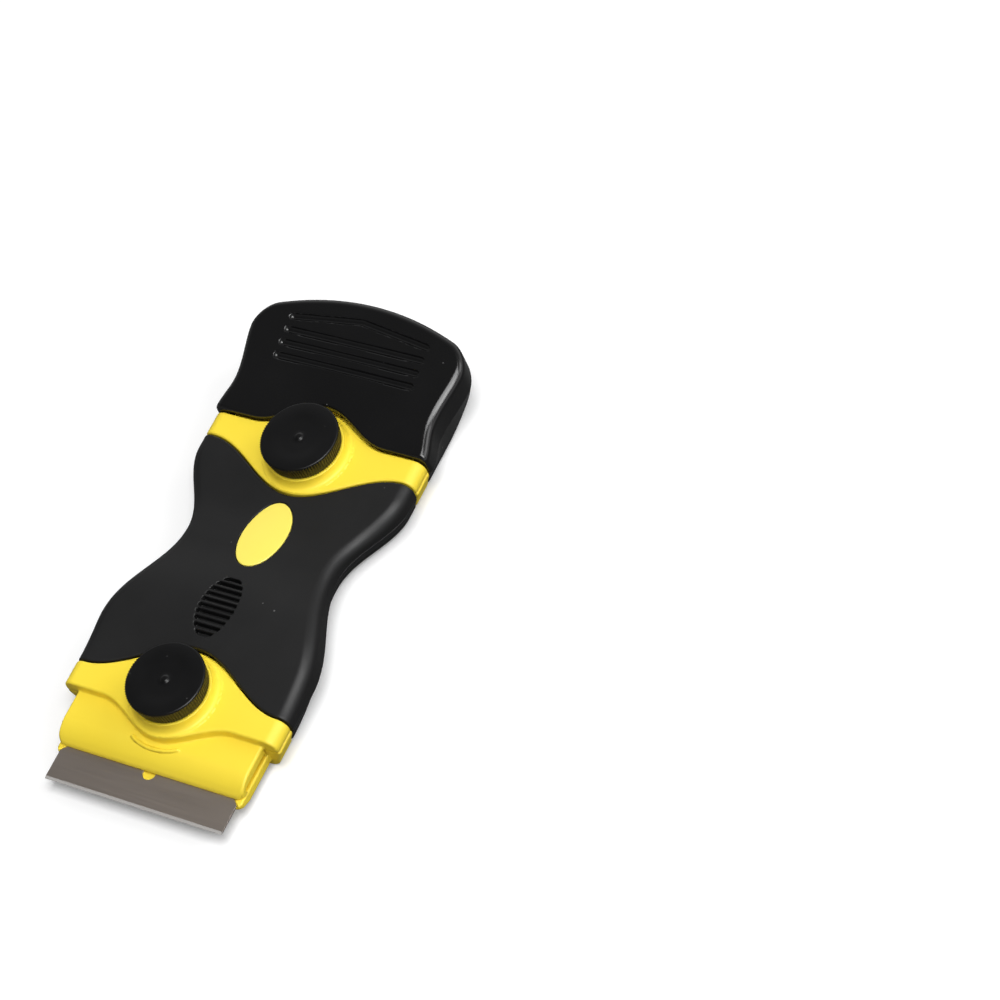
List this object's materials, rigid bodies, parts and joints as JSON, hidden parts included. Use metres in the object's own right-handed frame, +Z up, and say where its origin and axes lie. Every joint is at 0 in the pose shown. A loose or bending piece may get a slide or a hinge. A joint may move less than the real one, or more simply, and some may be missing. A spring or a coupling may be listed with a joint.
{
  "type": "razor blade scraper",
  "caption": "Double-ended razor blade scraper with a waisted black handle, yellow blade clamps, knurled clamp knobs and a black slide-on cap over one end.",
  "frame": {"origin": "middle of the handle's flat underside, midway between the two knob axes", "axes": "+Y along the tool from the bare blade to the capped end, +Z up through the knobs, +X to the right when looking along +Y"},
  "size_m": [0.0526, 0.1176, 0.0165],
  "materials": {
    "handle_black": "satin, fine grain",
    "cap_black": "gloss",
    "knob_black": "semi-gloss, knurled side",
    "clamp_yellow": "semi-gloss",
    "inlay_yellow": "gloss",
    "blade_steel": "rolled, ground edge",
    "screw_steel": "zinc plated"
  },
  "bodies": {
    "handle": {"top_cover": "handle_black", "bottom_cover": "handle_black", "oval_inlay": "inlay_yellow", "cover_screws": "screw_steel", "core_frame": "clamp_yellow", "front_nut": "screw_steel", "rear_nut": "screw_steel"},
    "front_clamp": {"front_clamp_plate": "clamp_yellow"},
    "rear_clamp": {"rear_clamp_plate": "clamp_yellow"},
    "front_knob_and_screw": {"front_knob": "knob_black", "front_screw": "screw_steel"},
    "rear_knob_and_screw": {"rear_knob": "knob_black", "rear_screw": "screw_steel"},
    "front_blade_body": {"front_blade": "blade_steel"},
    "rear_blade_body": {"rear_blade": "blade_steel"},
    "cap": {"rear_cap": "cap_black"}
  },
  "joints": [
    {"name": "front_clamp_lift", "type": "slide", "parent": "handle", "child": "front_clamp", "axis": [0, 0, 1], "range_m": [0, 0.0014]},
    {"name": "front_knob_turn", "type": "hinge", "parent": "front_clamp", "child": "front_knob_and_screw", "pos_m": [0, -0.03, 0.0146], "axis": [0, 0, 1], "range_deg": [0, 720]},
    {"name": "rear_clamp_lift", "type": "slide", "parent": "handle", "child": "rear_clamp", "axis": [0, 0, 1], "range_m": [0, 0.0014]},
    {"name": "rear_knob_turn", "type": "hinge", "parent": "rear_clamp", "child": "rear_knob_and_screw", "pos_m": [0, 0.03, 0.0146], "axis": [0, 0, 1], "range_deg": [0, 720]},
    {"name": "front_blade_slide", "type": "slide", "parent": "handle", "child": "front_blade_body", "axis": [0, -1, 0], "range_m": [0, 0.012]},
    {"name": "rear_blade_slide", "type": "slide", "parent": "handle", "child": "rear_blade_body", "axis": [0, 1, 0], "range_m": [0, 0.005]},
    {"name": "cap_pull_off", "type": "slide", "parent": "handle", "child": "cap", "axis": [0, 1, 0], "range_m": [0, 0.024]}
  ],
  "couplings": [
    {"joint": "front_knob_turn", "follows": "front_clamp_lift", "rad_per_m": 8975.9},
    {"joint": "rear_knob_turn", "follows": "rear_clamp_lift", "rad_per_m": 8975.9}
  ]
}
